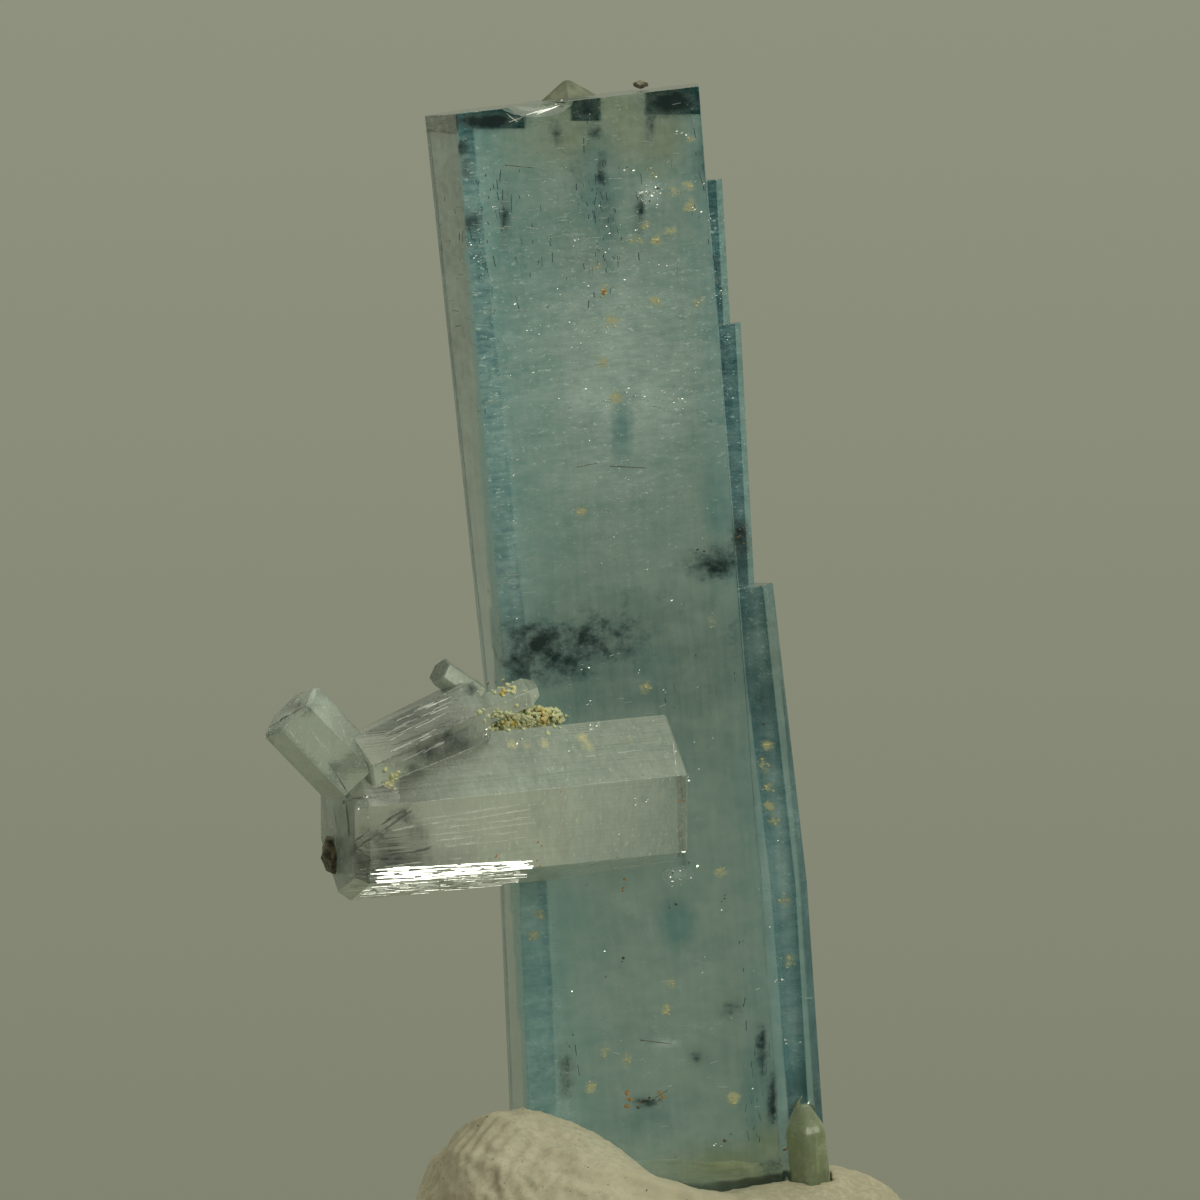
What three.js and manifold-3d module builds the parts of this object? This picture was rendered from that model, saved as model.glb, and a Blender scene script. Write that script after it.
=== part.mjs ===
// An aquamarine crystal standing in a lump of display putty, with colourless crystals grown across it.
// Millimetres, +Z up. The origin is the middle of the putty's flat underside, and the crystal's broad face
// looks along -Y.

import * as THREE from "three";
import { mergeVertices } from "three/addons/utils/BufferGeometryUtils.js";
import Module from "manifold-3d";

const wasm = await Module();
wasm.setup();

// Driving dimensions

const CRYSTAL_LEAN = 6.5; // degrees that the top face rises to the right, because the prism leans left
const FRONT_Y = -2.4; // the plane of the aquamarine's broad front face
const CRYSTAL_FOOT = 1.4; // height of the aquamarine's hidden lower end inside the putty
const SEAM_GAP = 0.04; // room left between touching pieces, so that they never share space
const SOCKET_GAP = 0.06; // room between the crystal and the putty pressed around it

// The aquamarine's outline at three heights. x is its front left corner, front and frontLeft are the widths
// of those faces, and the right face stands square to the front. Every side keeps its direction, so each
// face stays flat.
const PRISM_STATIONS = [
  { z: CRYSTAL_FOOT, x: -4.67, front: 9.59, frontLeft: 1.5, depth: 4.4 },
  { z: 17.9, x: -5.335, front: 9.04, frontLeft: 1.55, depth: 4.4 },
  { z: 46.5, x: -7.77, front: 9.2, frontLeft: 2.6, depth: 5.28 },
];
const PRISM_TOP = { x: 0, z: 44.86 }; // a point on the sloping top face

// Narrow prisms grown side by side with the big one, each ending in a step on its right edge.
// Each station is [height, x of the outermost corner, width of the front right face].
const LATHS = [
  {
    setBack: 1.0,
    front: 1.7,
    depth: 1.7,
    top: 41.5,
    lean: 5,
    stations: [[30, 3.12, 0.5], [42.6, 2.38, 0.5]],
  },
  {
    setBack: 0.8,
    front: 2.2,
    depth: 2.1,
    top: 36.1,
    lean: 9,
    stations: [[20, 4.02, 0.45], [37.2, 3.09, 0.45]],
  },
  {
    setBack: 0.6,
    front: 3.2,
    depth: 3.2,
    top: 26.2,
    lean: 8,
    stations: [[CRYSTAL_FOOT, 6.62, 1.2], [14.8, 5.7, 0.92], [27.4, 4.25, 0.8]],
  },
];

// Facets and a shell-shaped chip that break the edge of the top face.
const TOP_BEVELS = [
  { point: [-6.53, 2.8, 43.3], normal: [0, 0.72, 0.69], across: 3.05 },
  { point: [-2.73, 2.8, 43.6], normal: [0, 0.72, 0.69], across: 1.1 },
  { point: [0.6, 2.8, 43.85], normal: [0, 0.72, 0.69], across: 2.1 },
];
const TOP_CHIP = { at: [-4.6, -2.5, 44.5], radii: [1.45, 0.95, 0.62] };

// The colourless crystals. turn is how far the prism is rolled about its own axis, in degrees, and each
// bevel is [how far the end shrinks, the length it shrinks over] as shares of the radius.
const SPRAY = {
  crossing: {
    start: [-12.0, -5.75, 17.5],
    end: [0.35, -1.95, 18.36],
    radius: 3.08,
    turn: 17.7,
    startBevel: [0.13, 0.16],
    endBevel: [0.03, 0.03],
  },
  slanting: {
    start: [-11.3, -7.0, 19.75],
    end: [-6.8, -4.4, 21.75],
    radius: 1.34,
    turn: 8,
    startBevel: [0.08, 0.08],
    endBevel: [0.2, 0.25],
  },
  stub: {
    start: [-11.35, -6.8, 19.4],
    end: [-13.72, -7.5, 21.97],
    radius: 1.36,
    turn: 39,
    startBevel: [0.05, 0.05],
    endBevel: [0.1, 0.1],
  },
  upperChip: {
    start: [-6.85, -3.9, 22.15],
    end: [-8.22, -4.68, 23.2],
    radius: 0.58,
    turn: 20,
    startBevel: [0.05, 0.05],
    endBevel: [0.12, 0.12],
  },
  inner: {
    start: [-7.3, -3.8, 21.3],
    end: [-4.6, -2.85, 22.35],
    radius: 0.66,
    turn: 12,
    startBevel: [0.05, 0.05],
    endBevel: [0.45, 0.7],
  },
};

// Iron-stained crust in the groove between the crossing crystal and the aquamarine: [x, y, z, radius].
const CRUST_LUMPS = [
  [-6.35, -3.2, 21.15, 0.62],
  [-5.75, -3.05, 21.25, 0.72],
  [-5.1, -2.9, 21.25, 0.66],
  [-4.5, -2.75, 21.25, 0.56],
  [-3.95, -2.6, 21.28, 0.42],
];

// Small grains of other minerals that sit on the crystals.
const CAP = { at: [-3.35, 0.3], radius: 1.12, height: 0.66, sides: 5 };
const TOP_GRAIN = { at: [-0.62, 1.0], radii: [0.3, 0.22, 0.17] };
const SIDE_GRAIN = { up: -1.2, forward: -0.8, radii: [0.85, 0.7, 0.48], roll: -28 };
const BASE_GRAIN = {
  foot: [5.95, -1.95, 2.6],
  top: [5.5, -2.1, 6.45],
  radius: 0.86,
  tip: 0.35,
  point: 1.14,
};

// The putty: a low lump, its half widths, and the height of its rim every 30 degrees from +X round by +Y.
const PUTTY = { halfWidth: 9.7, halfDepth: 7.9, steps: 48 };
const PUTTY_RIM = [3.95, 3.5, 3.4, 3.5, 3.4, 4.2, 5.2, 6.4, 5.5, 4.1, 3.4, 3.6];
// Each ring of the lump, from the floor inwards: its share of the half widths and of the rim height.
const PUTTY_RINGS = [
  [0.94, 0],
  [1.0, 0.16],
  [0.985, 0.45],
  [0.9, 0.76],
  [0.76, 0.96],
  [0.6, 1.0],
  [0.3, 0.9],
];

// Solids and geometry

const SIN60 = Math.sqrt(3) / 2;
const TAN30 = 1 / Math.sqrt(3);
const up = new THREE.Vector3(0, 0, 1);

function solidOf(geometry) {
  const bare = geometry.clone();
  bare.deleteAttribute("normal");
  bare.deleteAttribute("uv");
  const merged = mergeVertices(bare, 1e-4);
  return new wasm.Manifold(
    new wasm.Mesh({
      numProp: 3,
      vertProperties: new Float32Array(merged.attributes.position.array),
      triVerts: new Uint32Array(merged.index.array),
    }),
  );
}

function geometryOf(solid) {
  const mesh = solid.getMesh();
  const geometry = new THREE.BufferGeometry();
  geometry.setAttribute("position", new THREE.BufferAttribute(mesh.vertProperties, 3));
  geometry.setIndex(new THREE.BufferAttribute(mesh.triVerts, 1));
  geometry.computeVertexNormals();
  return geometry;
}

// A closed body through rings of points, listed upwards, each ring counter-clockwise seen from above.
function loft(rings) {
  const count = rings[0].length;
  const points = rings.flat();
  const faces = [];
  for (let ring = 0; ring + 1 < rings.length; ring++) {
    for (let i = 0; i < count; i++) {
      const next = (i + 1) % count;
      const [a, b] = [ring * count + i, ring * count + next];
      faces.push(a, b, b + count, a, b + count, a + count);
    }
  }
  const middle = (ring) => ring.reduce((sum, p) => sum.add(p), new THREE.Vector3()).divideScalar(count);
  const bottom = points.push(middle(rings[0])) - 1;
  const top = points.push(middle(rings.at(-1))) - 1;
  const lastRing = (rings.length - 1) * count;
  for (let i = 0; i < count; i++) {
    const next = (i + 1) % count;
    faces.push(bottom, next, i, top, lastRing + i, lastRing + next);
  }
  return new THREE.BufferGeometry().setFromPoints(points).setIndex(faces);
}

// The aquamarine's five-sided outline from its front left corner, grown outwards by gap.
function prismOutline({ z, x, front, frontLeft, depth }, gap) {
  const back = FRONT_Y + depth + gap;
  const right = x + front + gap;
  const backLeft = x + depth / SIN60 / 2 - frontLeft - TAN30 * gap;
  const corners = [
    [x - TAN30 * gap, FRONT_Y - gap],
    [right, FRONT_Y - gap],
    [right, back],
    [backLeft, back],
    [x - frontLeft / 2 - gap / SIN60, FRONT_Y + frontLeft * SIN60],
  ];
  return corners.map(([across, deep]) => new THREE.Vector3(across, deep, z));
}

// A six-sided outline with corners of 120 degrees, from its front left corner, grown outwards by gap.
function hexagon({ z, x, y, front, frontRight, frontLeft, depth }, gap) {
  const wider = 2 * TAN30 * gap;
  const sides = (depth + 2 * gap) / SIN60; // the two left faces together, and the two right ones
  const right = frontRight + wider;
  const left = frontLeft + wider;
  const width = front + wider;
  const steps = [
    [width, 0],
    [right / 2, right * SIN60],
    [-(sides - right) / 2, (sides - right) * SIN60],
    [-(width + right - (sides - left)), 0],
    [-(sides - left) / 2, -(sides - left) * SIN60],
  ];
  const corner = new THREE.Vector3(x - TAN30 * gap, y - gap, z);
  const outline = [corner.clone()];
  for (const [dx, dy] of steps) outline.push(corner.add(new THREE.Vector3(dx, dy, 0)).clone());
  return outline;
}

// A block whose flat face lies at point, facing against normal: taking it away cuts along that plane.
function cutterAt(point, normal, across) {
  const reach = 6;
  const direction = new THREE.Vector3(...normal).normalize();
  const block = new THREE.BoxGeometry(across, 4 * reach, reach).translate(0, 0, reach / 2);
  block.applyQuaternion(new THREE.Quaternion().setFromUnitVectors(up, direction));
  return solidOf(block.translate(...point));
}

const leanNormal = (degrees) => {
  const angle = THREE.MathUtils.degToRad(degrees);
  return [-Math.sin(angle), 0, Math.cos(angle)];
};

// A six-sided crystal from start to end, with its ends bevelled.
function crystal({ start, end, radius, turn, startBevel, endBevel }) {
  const from = new THREE.Vector3(...start);
  const axis = new THREE.Vector3(...end).sub(from);
  const length = axis.length();
  axis.normalize();
  const upward = up.clone().addScaledVector(axis, -axis.z).normalize();
  const forward = axis.clone().cross(upward);
  const ring = (along, size) =>
    Array.from({ length: 6 }, (_, side) => {
      const angle = THREE.MathUtils.degToRad(turn) - (side * Math.PI) / 3;
      return from
        .clone()
        .addScaledVector(axis, along)
        .addScaledVector(forward, size * Math.cos(angle))
        .addScaledVector(upward, size * Math.sin(angle));
    });
  const [startShrink, startRun] = startBevel;
  const [endShrink, endRun] = endBevel;
  return solidOf(
    loft([
      ring(0, radius * (1 - startShrink)),
      ring(radius * startRun, radius),
      ring(length - radius * endRun, radius),
      ring(length, radius * (1 - endShrink)),
    ]),
  );
}

// An uneven faceted lump.
function lump(at, radii, roll = 0) {
  const shape = new THREE.DodecahedronGeometry(1, 0).scale(...radii);
  return solidOf(shape.rotateY(THREE.MathUtils.degToRad(roll)).translate(...at));
}

// The aquamarine

function lathSolid({ setBack, front, depth, stations }, gap) {
  const outlines = stations.map(([z, right, frontRight], index) =>
    hexagon(
      {
        z: index === 0 ? z - gap : z,
        x: right - frontRight / 2 - front,
        y: FRONT_Y + setBack,
        front,
        frontRight,
        frontLeft: depth / SIN60 / 2,
        depth,
      },
      gap,
    ),
  );
  return solidOf(loft(outlines));
}

// The prism and its laths before chip and bevels. With a gap it is the room they need in their neighbours.
function prismBody(gap = 0) {
  const [foot, ...rest] = PRISM_STATIONS;
  const outlines = [{ ...foot, z: foot.z - gap }, ...rest].map((station) => prismOutline(station, gap));
  const top = [PRISM_TOP.x, 0, PRISM_TOP.z + gap];
  let body = solidOf(loft(outlines)).subtract(cutterAt(top, leanNormal(CRYSTAL_LEAN), 40));
  for (const lath of LATHS) {
    const topOfLath = [lath.stations.at(-1)[1], 0, lath.top + gap];
    body = body.add(lathSolid(lath, gap).subtract(cutterAt(topOfLath, leanNormal(lath.lean), 12)));
  }
  return body;
}

function aquamarine() {
  let body = prismBody();
  for (const { point, normal, across } of TOP_BEVELS) {
    body = body.subtract(cutterAt(point, normal, across));
  }
  const chip = new THREE.SphereGeometry(1, 20, 12).scale(...TOP_CHIP.radii).translate(...TOP_CHIP.at);
  return body.subtract(solidOf(chip));
}

// The pieces that grew on it

function sprayBody() {
  return Object.values(SPRAY)
    .map(crystal)
    .reduce((joined, next) => joined.add(next));
}

function crust(room) {
  const lumps = CRUST_LUMPS.map(([x, y, z, radius]) =>
    lump([x, y, z], [radius, radius * 0.85, radius * 0.8], 40 * x),
  );
  return lumps.reduce((joined, next) => joined.add(next)).subtract(room);
}

const heightOfTop = (x) => {
  const slope = Math.tan(THREE.MathUtils.degToRad(CRYSTAL_LEAN));
  return PRISM_TOP.z + (x - PRISM_TOP.x) * slope;
};

function cap() {
  const { at, radius, height, sides } = CAP;
  const cone = new THREE.CylinderGeometry(radius * 0.12, radius, height, sides, 1).rotateX(Math.PI / 2);
  cone.translate(0, 0, height / 2 + SEAM_GAP).rotateY(THREE.MathUtils.degToRad(-CRYSTAL_LEAN));
  return solidOf(cone.translate(at[0], at[1], heightOfTop(at[0])));
}

function topGrain() {
  const { at, radii } = TOP_GRAIN;
  return lump([at[0], at[1], heightOfTop(at[0]) + radii[2] + SEAM_GAP], radii);
}

// A dark flake standing against the left end of the crossing crystal.
function sideGrain(room) {
  const from = new THREE.Vector3(...SPRAY.crossing.start);
  const axis = new THREE.Vector3(...SPRAY.crossing.end).sub(from).normalize();
  const upward = up.clone().addScaledVector(axis, -axis.z).normalize();
  const forward = axis.clone().cross(upward);
  const { up: rise, forward: reach, radii, roll } = SIDE_GRAIN;
  const flake = new THREE.DodecahedronGeometry(1, 0).scale(...radii);
  flake.rotateZ(THREE.MathUtils.degToRad(roll));
  const place = new THREE.Matrix4().makeBasis(upward, forward, axis);
  place.setPosition(from.addScaledVector(upward, rise).addScaledVector(forward, reach));
  return solidOf(flake.applyMatrix4(place)).subtract(room);
}

function baseGrain(gap = 0) {
  const { foot, top, radius, tip, point } = BASE_GRAIN;
  return crystal({
    start: [foot[0], foot[1], foot[2] - gap],
    end: top,
    radius: radius + gap,
    turn: 20,
    startBevel: [0.1, 0.1],
    endBevel: [1 - tip, point],
  });
}

// The putty

function puttyBody() {
  const { halfWidth, halfDepth, steps } = PUTTY;
  const rimPoints = PUTTY_RIM.map((height, i) => new THREE.Vector3(i, height, 0));
  const rim = new THREE.CatmullRomCurve3(rimPoints, true);
  const rings = PUTTY_RINGS.map(([share, rise], ring) =>
    Array.from({ length: steps }, (_, i) => {
      const angle = (2 * Math.PI * i) / steps;
      const uneven = 0.03 * Math.sin(3 * angle + ring) + 0.022 * Math.sin(5 * angle - 2 * ring);
      const spread = share * (ring === 0 ? 1 : 1 + uneven);
      return new THREE.Vector3(
        halfWidth * spread * Math.cos(angle),
        halfDepth * spread * Math.sin(angle),
        rise * rim.getPoint(i / steps).y,
      );
    }),
  );
  return solidOf(loft(rings));
}

// The assembly

const materials = {
  aquamarine: new THREE.MeshStandardMaterial({ color: 0x6f9a9c, roughness: 0.08, metalness: 0 }),
  clear: new THREE.MeshStandardMaterial({ color: 0xb4bda9, roughness: 0.06, metalness: 0 }),
  smoky: new THREE.MeshStandardMaterial({ color: 0x8b8f74, roughness: 0.2, metalness: 0 }),
  crust: new THREE.MeshStandardMaterial({ color: 0xb09a54, roughness: 0.7, metalness: 0 }),
  dark: new THREE.MeshStandardMaterial({ color: 0x3a342b, roughness: 0.55, metalness: 0 }),
  putty: new THREE.MeshStandardMaterial({ color: 0xcfc7a8, roughness: 0.85, metalness: 0 }),
};

const specimen = new THREE.Group();

function place(name, solid, material) {
  const mesh = new THREE.Mesh(geometryOf(solid), material);
  mesh.name = name;
  specimen.add(mesh);
}

const aquamarineRoom = prismBody(SEAM_GAP);
const spray = sprayBody();
const sprayRoom = [[0, 0, SEAM_GAP], [-SEAM_GAP, -SEAM_GAP, 0]].reduce(
  (room, shift) => room.add(spray.translate(shift)),
  spray,
);
const socket = prismBody(SOCKET_GAP).add(baseGrain(SOCKET_GAP));

place("main_crystal", aquamarine(), materials.aquamarine);
place("cross_crystals", spray.subtract(aquamarineRoom), materials.clear);
place("iron_crust", crust(aquamarineRoom.add(sprayRoom)), materials.crust);
place("cap_crystal", cap(), materials.smoky);
place("top_grain", topGrain(), materials.dark);
place("side_grain", sideGrain(sprayRoom), materials.dark);
place("base_crystal", baseGrain().subtract(aquamarineRoom), materials.smoky);
place("putty_base", puttyBody().subtract(socket), materials.putty);

export default specimen;
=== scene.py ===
"""Looks of the aquamarine specimen: clear crystals with their inclusions, crust, grains and putty."""

import math

import bmesh
import bpy
import numpy as np
from mathutils import Matrix, Vector, noise
from mathutils.bvhtree import BVHTree


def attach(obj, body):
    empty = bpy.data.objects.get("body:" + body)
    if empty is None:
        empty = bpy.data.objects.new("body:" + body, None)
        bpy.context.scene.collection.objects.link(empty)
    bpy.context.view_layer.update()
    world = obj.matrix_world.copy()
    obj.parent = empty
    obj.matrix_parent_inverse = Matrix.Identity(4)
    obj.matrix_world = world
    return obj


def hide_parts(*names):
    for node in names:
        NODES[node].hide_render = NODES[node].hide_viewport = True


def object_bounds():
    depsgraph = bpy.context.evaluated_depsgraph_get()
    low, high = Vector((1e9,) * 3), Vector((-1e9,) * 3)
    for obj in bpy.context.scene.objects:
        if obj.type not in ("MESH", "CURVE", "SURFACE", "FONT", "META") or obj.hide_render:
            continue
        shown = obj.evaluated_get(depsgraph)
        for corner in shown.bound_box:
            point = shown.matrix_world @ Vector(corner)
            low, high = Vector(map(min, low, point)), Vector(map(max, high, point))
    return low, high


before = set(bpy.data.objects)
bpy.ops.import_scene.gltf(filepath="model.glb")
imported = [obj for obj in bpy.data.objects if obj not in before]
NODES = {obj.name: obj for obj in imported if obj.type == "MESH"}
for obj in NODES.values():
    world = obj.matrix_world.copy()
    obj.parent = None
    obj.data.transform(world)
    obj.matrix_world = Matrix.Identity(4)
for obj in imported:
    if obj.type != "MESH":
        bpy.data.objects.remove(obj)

CAD_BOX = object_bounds()
MM = 0.001

# The photograph's frame: metres a pixel, and the pixel that the origin of the part falls on

PIXEL = 0.038 * MM
ORIGIN_X, ORIGIN_Y = 657, 1270
PHOTO_MIDDLE = 600
PHOTO_SIDE = 1200

# Camera

CAMERA_DISTANCE = 350 * MM
CAMERA_ELEVATION = math.radians(4.8)
CAMERA_FORWARD = Vector((0, math.cos(CAMERA_ELEVATION), -math.sin(CAMERA_ELEVATION)))
CAMERA_UP = Vector((0, math.sin(CAMERA_ELEVATION), math.cos(CAMERA_ELEVATION)))
CAMERA_TARGET = Vector(((PHOTO_MIDDLE - ORIGIN_X) * PIXEL, 0, (ORIGIN_Y - PHOTO_MIDDLE) * PIXEL))
CAMERA_PLACE = CAMERA_TARGET - CAMERA_FORWARD * CAMERA_DISTANCE
SENSOR = 36.0

# Lights: place, side and watts of each, then what both share

KEY_LIGHT = (Vector((10, -35, 172)) * MM, 150 * MM, 0.09)
FILL_LIGHT = (Vector((150, -160, 110)) * MM, 120 * MM, 0.18)
LIGHT_TINT = (1.0, 1.02, 0.86)
LIGHT_AIM = Vector((0, 0, 22)) * MM
# The backdrop's colour by the upward part of the direction
BACKDROP = [
    (-1.0, (0.24, 0.24, 0.18)),
    (-0.148, (0.22, 0.231, 0.162)),
    (-0.019, (0.275, 0.287, 0.212)),
    (0.25, (0.3, 0.31, 0.24)),
    (0.6, (0.36, 0.37, 0.3)),
    (1.0, (0.62, 0.64, 0.54)),
]

# Crystals

CRYSTAL_AXIS = Vector((-0.088, 0, 1)).normalized()
CROSS_AXIS = Vector((12.35, 3.8, 0.86)).normalized()
BERYL_IOR = 1.577
AQUA_ABSORPTION = ((0.25, 0.72, 0.78, 1.0), 48.0)
CLEAR_ABSORPTION = ((0.6, 0.8, 0.72, 1.0), 18.0)
AQUA_MILK = (0.92, 0.97, 0.92, 1.0)
CLEAR_MILK = (0.8, 0.88, 0.77, 1.0)
DARK_TINT = (0.012, 0.028, 0.03, 1.0)
YELLOW_STAIN = (0.74, 0.69, 0.36, 1.0)
ORANGE_STAIN = (0.5, 0.25, 0.05, 1.0)
WELD = 0.002 * MM
FLAT = math.radians(1.0)
SHARP = math.radians(20)
EDGE_WEAR = 0.035 * MM
BASE_WEAR = 0.18 * MM
PAINT_SQUARE = 0.2 * MM

# Soft patches in the aquamarine, as pixels of the photograph: (x, y, half width, half height, strength)

# Dark clouds; the patches along the top, at heights of about 100 to 135, are painted dark reflections
DARK_CLOUDS_AND_REFLECTIONS = np.array([
    (552, 650, 66, 46, 0.95),
    (520, 662, 24, 34, 0.9),
    (602, 636, 60, 34, 0.85),
    (715, 562, 36, 24, 1.0),
    (740, 540, 12, 26, 1.1),
    (650, 608, 80, 26, 0.5),
    (730, 630, 10, 16, 0.6),
    (762, 1050, 8, 36, 0.9),
    (772, 1100, 6, 34, 1.2),
    (566, 1075, 10, 36, 0.75),
    (732, 1008, 14, 14, 0.7),
    (697, 1055, 10, 12, 0.7),
    (470, 222, 16, 12, 0.85),
    (505, 215, 6, 34, 0.8),
    (602, 172, 8, 26, 0.95),
    (580, 172, 16, 26, 0.55),
    (606, 215, 10, 22, 0.6),
    (590, 262, 26, 12, 0.5),
    (645, 1102, 16, 6, 1.0),
    (487, 121, 44, 10, 1.3),
    (461, 148, 9, 10, 1.1),
    (466, 170, 8, 12, 0.8),
    (586, 108, 16, 18, 1.1),
    (555, 132, 9, 16, 0.85),
    (594, 130, 12, 14, 0.7),
    (672, 103, 34, 16, 1.35),
    (650, 122, 7, 24, 0.9),
    (640, 214, 6, 22, 0.9),
    (700, 165, 8, 30, 0.6),
    (762, 700, 12, 30, 0.5),
    (682, 862, 6, 20, 0.6),
    (772, 1166, 26, 12, 0.7),
])
BLUE_CLOUDS = np.array([
    (598, 185, 22, 56, 0.8),
    (605, 230, 14, 40, 0.6),
    (540, 270, 70, 50, 0.3),
    (495, 260, 34, 90, 0.45),
    (622, 430, 11, 36, 0.9),
    (655, 662, 26, 28, 1.1),
    (676, 924, 19, 24, 1.3),
    (718, 505, 14, 50, 0.9),
    (600, 690, 80, 40, 0.5),
    (697, 160, 14, 60, 0.6),
    (560, 960, 12, 120, 0.5),
    (650, 1118, 40, 20, 0.5),
    (757, 1090, 14, 60, 0.7),
])
WHITE_CLOUDS = np.array([
    (645, 402, 66, 11, 0.85),
    (575, 300, 60, 40, 0.6),
    (625, 330, 80, 60, 0.5),
    (589, 332, 16, 8, 0.9),
    (509, 339, 17, 7, 0.8),
    (518, 580, 15, 7, 0.9),
    (649, 194, 13, 11, 0.9),
    (667, 429, 18, 7, 0.75),
    (676, 874, 18, 8, 0.9),
    (788, 1042, 12, 11, 0.85),
    (666, 1043, 15, 5, 0.85),
    (779, 981, 12, 4, 0.8),
    (640, 682, 13, 9, 0.45),
    (473, 253, 9, 12, 0.6),
])
OLIVE_STAINS = np.array([
    (740, 1165, 70, 22, 0.8),
    (770, 1150, 22, 30, 0.8),
])
FACET_STAINS = np.array([
    (490, 580, 5, 26, 0.6),
    (494, 620, 5, 30, 0.7),
    (498, 665, 6, 28, 0.75),
])

# Zones of the aquamarine: its front face's left and right edges, as heights in the photograph and x at each

LEFT_EDGE = ((110, 1110), (457, 527))
RIGHT_EDGE = ((46, 799, 1233), (697, 757, 789))
# How far the facet behind reaches in from the left edge, as heights and pixels
FACET_REACH = ((150, 1080), (9, 36))
# How milky the front is at each height, and across it from the left edge
MILKINESS = np.array([
    (150, 0.06), (235, 0.08), (265, 0.22), (300, 0.44), (340, 0.5), (410, 0.52), (440, 0.38),
    (470, 0.28), (500, 0.2), (560, 0.14), (600, 0.05), (640, 0.0), (700, 0.0), (780, 0.1), (860, 0.18),
    (930, 0.19), (1000, 0.18), (1090, 0.16), (1170, 0.15),
]).T
MILK_ACROSS = np.array([
    (0, 0.6), (50, 0.65), (100, 1.0), (150, 1.0), (190, 0.7), (225, 0.3), (290, 0.2),
]).T
# How much of the dusky tint it has at each height
DUSKINESS = np.array([
    (460, 0.0), (520, 0.1), (560, 0.16), (600, 0.35), (640, 0.75), (700, 0.6), (780, 0.22), (860, 0.1),
    (960, 0.0),
]).T
# The width of the blue zone along its right side
BLUE_RIM = 0.6 * MM
# The height up to which the putty shows against it
FOOT = 2.4 * MM
CLEAR_TINT = (0.98, 0.99, 0.98)
# The left facet's tints above and below: a painted grade, darker above and lighter below, that evens out
# the light falling along it
FACET_HIGH = (0.43, 0.44, 0.42)
FACET_LOW = (0.7, 0.7, 0.69)
CORE_TINT = (0.41, 0.61, 0.62)
TOP_TINT = (0.45, 0.51, 0.37)
BLUE_TINT = (0.33, 0.64, 0.76)
DEEP_TINT = (0.12, 0.36, 0.44)
EDGE_TINT = (0.32, 0.67, 0.74)
RIM_TINT = (0.15, 0.41, 0.48)
OLIVE_TINT = (0.4, 0.46, 0.24)
FOOT_TINT = (0.45, 0.42, 0.27)
DUSK_TINT = (0.19, 0.3, 0.31)

# Soft patches in the colourless crystals, and how frosted they are across the photograph

# Dark patches painted in for the dark surroundings that the colourless crystals reflect and refract:
# painted dark reflections
SPRAY_DARK_REFLECTIONS = np.array([
    (448, 740, 24, 12, 0.95),
    (430, 752, 26, 12, 0.8),
    (412, 768, 10, 8, 0.9),
    (470, 690, 10, 8, 1.0),
    (404, 815, 18, 14, 0.85),
    (376, 838, 20, 16, 0.9),
    (352, 848, 8, 16, 0.9),
    (395, 858, 42, 5, 0.9),
    (345, 812, 12, 14, 0.7),
    (335, 766, 10, 8, 0.8),
    (294, 706, 34, 8, 0.9),
    (272, 735, 8, 10, 0.7),
    (420, 715, 30, 6, 0.5),
    (507, 858, 5, 14, 0.5),
])
SMOKY_CLOUDS = np.array([
    (430, 735, 60, 40, 1.0),
    (380, 845, 40, 30, 0.6),
])
FROSTING = np.array([
    (270, 0.22), (325, 0.34), (350, 0.1), (400, 0.08), (440, 0.5), (480, 0.65), (520, 0.7), (560, 0.68),
    (600, 0.52), (640, 0.42), (690, 0.15),
]).T
PRISM_TINT = (0.92, 0.95, 0.91)
STUB_TINT = (0.9, 0.98, 0.93)
SMOKE_TINT = (0.45, 0.49, 0.46)
# The darker tint of their upward faces: painted shade against the light from overhead
TOP_SHADE_TINT = (0.15, 0.18, 0.155)

# Sparkles: fields of them (x, y, half width, half height, share), and single ones (x, y, half width)

SPARKLES = [
    (600, 200, 90, 80, 0.3),
    (560, 300, 60, 60, 0.3),
    (645, 400, 45, 5, 0.25),
    (640, 480, 80, 220, 0.4),
    (690, 960, 80, 120, 0.3),
    (648, 194, 7, 7, 0.2),
    (676, 874, 14, 6, 0.2),
]
GLINTS = [
    (679, 132, 4), (659, 175, 3), (647, 193, 5), (652, 190, 4), (630, 170, 3), (637, 231, 3),
    (605, 250, 3), (473, 246, 4), (475, 260, 4), (493, 207, 2), (464, 199, 2), (580, 239, 3),
    (528, 118, 4), (560, 102, 3), (587, 282, 3), (563, 292, 3), (669, 264, 2), (715, 296, 2),
    (713, 220, 2), (726, 336, 3), (697, 210, 3), (679, 196, 3), (628, 390, 3), (674, 396, 3),
    (518, 458, 4), (511, 475, 3), (715, 514, 2), (626, 478, 2), (588, 704, 3), (580, 666, 3),
    (639, 671, 2), (664, 691, 3), (647, 570, 2), (667, 878, 4), (676, 873, 4), (695, 866, 4),
    (683, 842, 5), (685, 778, 4), (780, 981, 4), (788, 1042, 4), (594, 1080, 3), (575, 996, 2),
    (669, 1086, 2), (716, 1145, 3), (710, 1028, 2), (808, 1135, 3), (815, 1102, 4), (650, 802, 3),
    (642, 800, 4), (350, 800, 5), (362, 798, 4), (393, 793, 4), (488, 733, 5), (520, 738, 4),
    (592, 730, 3), (365, 815, 3),
]
FLAKES_A_SHARE = 200
FLAKE_THICKNESS = 0.006 * MM
# The way a plate in the crystals' front faces when it mirrors the light overhead, and the one on the right
MIRROR_NORMAL = Vector((0, -0.68, 0.73))
SIDE_NORMAL = Vector((0.36, -0.89, 0.26))

# Lines on the crystals: both ends as pixels, and how many short lengths they break into

# Silky growth steps under the crossing crystal
FACET_STEPS = [((352, 871 + 4 * row), (532 - 4 * row, 861 + 4 * row), 54) for row in range(8)]
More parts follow.
